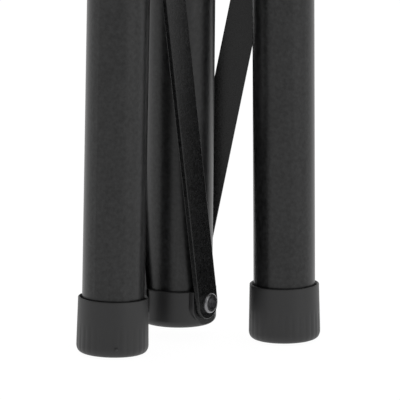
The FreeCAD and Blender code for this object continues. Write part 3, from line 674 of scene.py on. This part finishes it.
def coverWrap():
    # the cover drawn round the board's edge and flat under it: an annulus whose height drops in
    # folds, |sin(n t / 2)|^0.6 deep at its outer edge and flattened at the staples by
    # exp(-(d / 5 mm)^2), its cut edge uneven by a sum of sines
    turn = np.linspace(0, 2 * np.pi, wrap["steps"], endpoint=False)[None, :]
    share = np.linspace(0, 1, wrap["rows"])[:, None]
    ragged = 1.6 * np.sin(9 * turn + 0.5) + 1.1 * np.sin(23 * turn) + 0.5 * np.sin(61 * turn + 1)
    radius = wrap["outer"] + (wrap["inner"] + ragged * mm - wrap["outer"]) * share
    fold = np.abs(np.sin(wrap["pleats"] * (turn + 0.035 * np.sin(5 * turn)) / 2)) ** 0.6
    fade = (1 - 0.55 * share) * np.clip(share * 9, 0.15, 1)
    flattened = 1 - 0.75 * np.exp(-((radius - staple["ring"]) / (5 * mm)) ** 2)
    depth = wrap["rise"] * (0.30 + 0.70 * fold) * fade * flattened
    climb = np.clip(1 - share * 12, 0, 1)
    height = wrap["top"] - wrap["thickness"] / 2 - depth + climb ** 2 * wrap["climb"]
    radius = radius + climb * wrap["spread"]
    points = np.stack([radius * np.cos(turn), radius * np.sin(turn), height + 0 * turn], -1)
    faces = gridFaces(wrap["rows"], wrap["steps"])
    piece = meshPiece("seatCoverWrap", points, faces, seatCloth, "seat")
    wall = piece.modifiers.new("wall", "SOLIDIFY")
    wall.thickness = wrap["thickness"]
    wall.offset = 0
    clothMap(piece)


def staples():
    # wire staples: a square path of legs and crown, carried with a six-sided section
    count, half = staple["count"], staple["length"] / 2
    middle = np.arange(count) * 2 * np.pi / count + 0.02 * np.sin(np.arange(count) * 2.4)
    along = np.array([-half, -half, staple["bend"] - half, half - staple["bend"], half, half])
    rise = np.array([staple["leg"], staple["bend"], 0, 0, staple["bend"], staple["leg"]])
    rise += wrap["top"] - wrap["thickness"] - staple["drop"]
    out = np.stack([np.cos(middle), np.sin(middle), 0 * middle], -1)[:, None]
    side = np.stack([-np.sin(middle), np.cos(middle), 0 * middle], -1)[:, None]
    up = np.array([0, 0, 1.0])
    centre = out * staple["ring"] + side * along[:, None] + up * rise[:, None]
    # across the wire: sideways on the legs, upward on the crown, between the two at the bends
    lean = np.array([0.0, 0.4, 0.8, 0.8, 0.4, 0.0])
    flat = side * (np.sign(along) * (1 - lean))[:, None] + up * lean[:, None]
    flat = flat / np.linalg.norm(flat, axis=-1, keepdims=True)
    sides = np.linspace(0, 2 * np.pi, 6, endpoint=False)[:, None]
    ring = out[:, :, None] * np.cos(sides) + flat[:, :, None] * np.sin(sides)
    points = centre[:, :, None] + staple["wire"] * ring
    every = (gridFaces(6, 6)[None] + (np.arange(count) * 36)[:, None, None]).reshape(-1, 4)
    meshPiece("seatStaples", points, every, zincPlate, "seat")


coverWrap()
staples()
print("cover wrap and staples made")


# welds, threads and small fittings

bead = {"radius": 1.8 * mm, "ripples": 58, "ripple": 0.16, "wander": 0.25 * mm, "steps": 696,
        "sides": 12}


def weldBead(name, ring, height, body):
    # a round section carried round a circle; its radius follows |sin(n t)|, one ripple for each dab
    turn = np.linspace(0, 2 * np.pi, bead["steps"], endpoint=False)
    out = np.stack([np.cos(turn), np.sin(turn), 0 * turn], -1)
    lead = turn + 0.06 * np.sin(7 * turn)
    dabs = np.abs(np.sin(bead["ripples"] / 2 * lead))
    radii = bead["radius"] * (1 - bead["ripple"] + bead["ripple"] * dabs)
    sway = bead["wander"] * np.sin(5 * turn + 1.1)
    path = out * (ring + 0.3 * sway)[:, None] + np.array([0, 0, 1.0]) * (height + sway)[:, None]
    points = carried(path, out, np.tile([0, 0, 1.0], (len(turn), 1)), radii, bead["sides"])
    faces = gridFaces(len(turn), bead["sides"], True)
    meshPiece(name, points, faces, tubeCoat, body)


neckLow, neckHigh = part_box("swivel_neck")
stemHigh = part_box("seat_stem")[1]
# each bead's ring stands a little off its tube, its middle a little past the joint
weldBead("stemWeld", stemHigh.x + 0.7 * mm, neckLow.z + 0.1 * mm, "head")
weldBead("plateWeld", neckHigh.x + 0.3 * mm, neckHigh.z - 0.4 * mm, "head")

thread = {"pitch": 1.25 * mm, "height": 0.32 * mm, "proud": 0.02 * mm, "runOut": 0.4 * mm,
          "steps": 72, "perPitch": 10}


def threadSleeve(name, axisPlace, radius, start, end, body):
    # a helical ridge: radius = root + height (1 - |2 frac(s / pitch - t / 2 pi) - 1|), tapered
    # off at both ends
    rows = int((end - start) / thread["pitch"] * thread["perPitch"]) + 2
    along = np.linspace(start, end, rows)[:, None]
    turn = np.linspace(0, 2 * np.pi, thread["steps"], endpoint=False)[None, :]
    phase = (along / thread["pitch"] - turn / (2 * np.pi)) % 1
    fade = np.clip(np.minimum(along - start, end - along) / thread["runOut"], 0, 1)
    r = radius + thread["proud"] + thread["height"] * (1 - np.abs(2 * phase - 1)) * fade
    points = np.stack([r * np.cos(turn), r * np.sin(turn), along + 0 * turn], -1)
    faces = gridFaces(rows, thread["steps"])
    meshPiece(name, placed(points, axisPlace), faces, zincPlate, body)


def turnedPiece(name, corners, place, material, body, steps=96, rounding=6):
    points = turned(roundedProfile(corners, rounding), steps)
    faces = gridFaces(len(points), steps)
    return meshPiece(name, placed(points, place), faces, material, body)


clamp = pivots["clamp_turn"]
clampAxis = Vector(clamp["axis"])
clampPlace = axisFrame((0, 0, clamp["pos_m"][2]), clampAxis, (0, 0, 1))
knob = meshPoints(nodes["clamp_knob"].data) @ np.array(clampAxis)
stud = {"radius": 4.0 * mm, "before": 2.4 * mm, "inside": 0.4 * mm}
threadSleeve("clampThread", clampPlace, stud["radius"], knob.min() - stud["before"],
             knob.min() + stud["inside"], "clamp")
# the badge's corners: radius, height over the knob's face and rounding, in millimetres
badge = np.array([(0, 0.1, 0), (5.6, 0.1, 0.5), (6.0, 0.9, 0.5), (8.0, 0.9, 0.7), (8.4, -0.5, 0),
                  (0, -0.5, 0)]) * mm + np.array([0, knob.max(), 0])
turnedPiece("clampKnobBadge", badge, clampPlace, hubPlastic, "clamp")

# the nylon collar in a nut: the same, over the end of the bolt
collar = np.array([(4.1, -1.7, 0), (4.1, -1.0, 0.2), (5.3, -1.0, 0.4), (5.6, -1.7, 0)]) * mm
bolt = {"radius": 3.85 * mm, "threadFrom": 1.5 * mm, "threadTo": 0.05 * mm, "headOver": 6 * mm,
        "reach": 40 * mm}
for arm in arms:
    # the bolt's points near this hinge, along its axis; its head is the wide end
    hinge = pivots[f"leg_{arm}_fold"]
    axis = Vector(hinge["axis"])
    local = meshPoints(nodes["leg_pivot_bolts"].data) - np.array(hinge["pos_m"])
    near = local[np.linalg.norm(local, axis=1) < bolt["reach"]]
    along = near @ np.array(axis)
    across = np.linalg.norm(near - along[:, None] * np.array(axis), axis=1)
    sign = -1 if along[across > bolt["headOver"]].mean() > 0 else 1
    tail = (along * sign).max()
    place = axisFrame(hinge["pos_m"], axis * sign, (0, 0, 1))
    threadSleeve(f"boltThread_{arm}", place, bolt["radius"], tail - bolt["threadFrom"],
                 tail - bolt["threadTo"], "head")
    turnedPiece(f"nutCollar_{arm}", collar + np.array([0, tail, 0]), place, guideNylon, "head")
print("welds, threads and fittings made")


# room, light and camera

table = {"rings": (0.0, 1.0, 4.0, 40.0), "drop": 0.2 * mm, "steps": 64, "grey": 0.08, "glow": 0.97}


def whiteFloor():
    # a lit white table: level rings from the centre to the rim, just under the soles
    profile = np.array([[radius, -table["drop"]] for radius in table["rings"]])
    points = turned(profile, table["steps"])
    faces = gridFaces(len(profile), table["steps"])
    mesh = bpy.data.meshes.new("whiteFloor")
    mesh.from_pydata(points.reshape(-1, 3).tolist(), [], faces.tolist())
    material, tree, shader = newMaterial("floorWhite", (table["grey"],) * 3, 0.9)
    shader.inputs["Emission Color"].default_value = (1, 1, 1, 1)
    shader.inputs["Emission Strength"].default_value = table["glow"]
    shader.inputs["Specular IOR Level"].default_value = 0.0
    mesh.materials.append(material)
    floor = bpy.data.objects.new("whiteFloor", mesh)
    bpy.context.scene.collection.objects.link(floor)


view = {"azimuth": 6.0, "elevation": 10.5, "roll": 0.6, "distance": 2.2, "frameWidth": 0.1646,
        "aside": 8.85 * mm, "height": 56.8 * mm, "sensor": 36}


def studioCamera():
    a, e = math.radians(view["azimuth"]), math.radians(view["elevation"])
    back = Vector((math.sin(a) * math.cos(e), -math.cos(a) * math.cos(e), math.sin(e)))
    right = Vector((math.cos(a), math.sin(a), 0))
    up = back.cross(right)
    r = math.radians(view["roll"])
    tiltUp = up * math.cos(r) - right * math.sin(r)
    tiltRight = tiltUp.cross(back)
    lens = bpy.data.cameras.new("studioCamera")
    lens.sensor_width = view["sensor"]
    lens.lens = view["sensor"] * view["distance"] / view["frameWidth"]
    lens.clip_start, lens.clip_end = 0.05, 200
    camera = bpy.data.objects.new("studioCamera", lens)
    bpy.context.scene.collection.objects.link(camera)
    target = right * view["aside"] + Vector((0, 0, view["height"]))
    camera.matrix_world = Matrix.Translation(target + back * view["distance"]) @ \
        Matrix((tiltRight, tiltUp, back)).transposed().to_4x4()
    bpy.context.scene.camera = camera


room = {"behind": 0.95, "before": 0.36, "from": -0.50, "to": 0.70}


def studioWorld():
    # a white surround that is bright behind the stand and falls off towards the front
    world = bpy.data.worlds.new("studioWorld")
    bpy.context.scene.world = world
    world.use_nodes = True
    tree = world.node_tree
    ground = tree.nodes["Background"]
    where = node(tree, "ShaderNodeTexCoord").outputs["Generated"]
    turn = math.radians(view["azimuth"])
    depth = node(tree, "ShaderNodeVectorMath", {0: where, 1: (-math.sin(turn), math.cos(turn), 0)},
                 operation="DOT_PRODUCT").outputs[1]
    levels = {0: depth, 1: room["from"], 2: room["to"], 3: room["before"], 4: room["behind"]}
    fall = node(tree, "ShaderNodeMapRange", levels, interpolation_type="SMOOTHSTEP").outputs[0]
    tree.links.new(fall, ground.inputs["Strength"])
    ground.inputs["Color"].default_value = (1, 1, 1, 1)
    seen = node(tree, "ShaderNodeBackground", {"Color": (1, 1, 1, 1), "Strength": 1.0})
    direct = node(tree, "ShaderNodeLightPath").outputs["Is Camera Ray"]
    mix = node(tree, "ShaderNodeMixShader", {0: direct, 1: ground.outputs[0], 2: seen.outputs[0]})
    tree.links.new(mix.outputs[0], tree.nodes["World Output"].inputs[0])


lamps = {
    "softRight": {"at": (2.0, -1.3, 0.9), "size": (1.0, 1.8), "power": 9.0},
    "softTop": {"at": (-0.4, -1.6, 2.6), "size": (1.6, 1.6), "power": 5.0},
}
lampTarget = Vector((0, 0, 0.25))


def softLamp(name, at, size, power):
    light = bpy.data.lights.new(name, "AREA")
    light.shape = "RECTANGLE"
    light.size, light.size_y = size
    light.energy = power
    lamp = bpy.data.objects.new(name, light)
    bpy.context.scene.collection.objects.link(lamp)
    lamp.location = at
    lamp.rotation_euler = (lampTarget - Vector(at)).to_track_quat("-Z", "Y").to_euler()


whiteFloor()
studioCamera()
studioWorld()
for name, lamp in lamps.items():
    softLamp(name, lamp["at"], lamp["size"], lamp["power"])
bpy.context.scene.view_settings.view_transform = "Standard"
print("room, light and camera set")
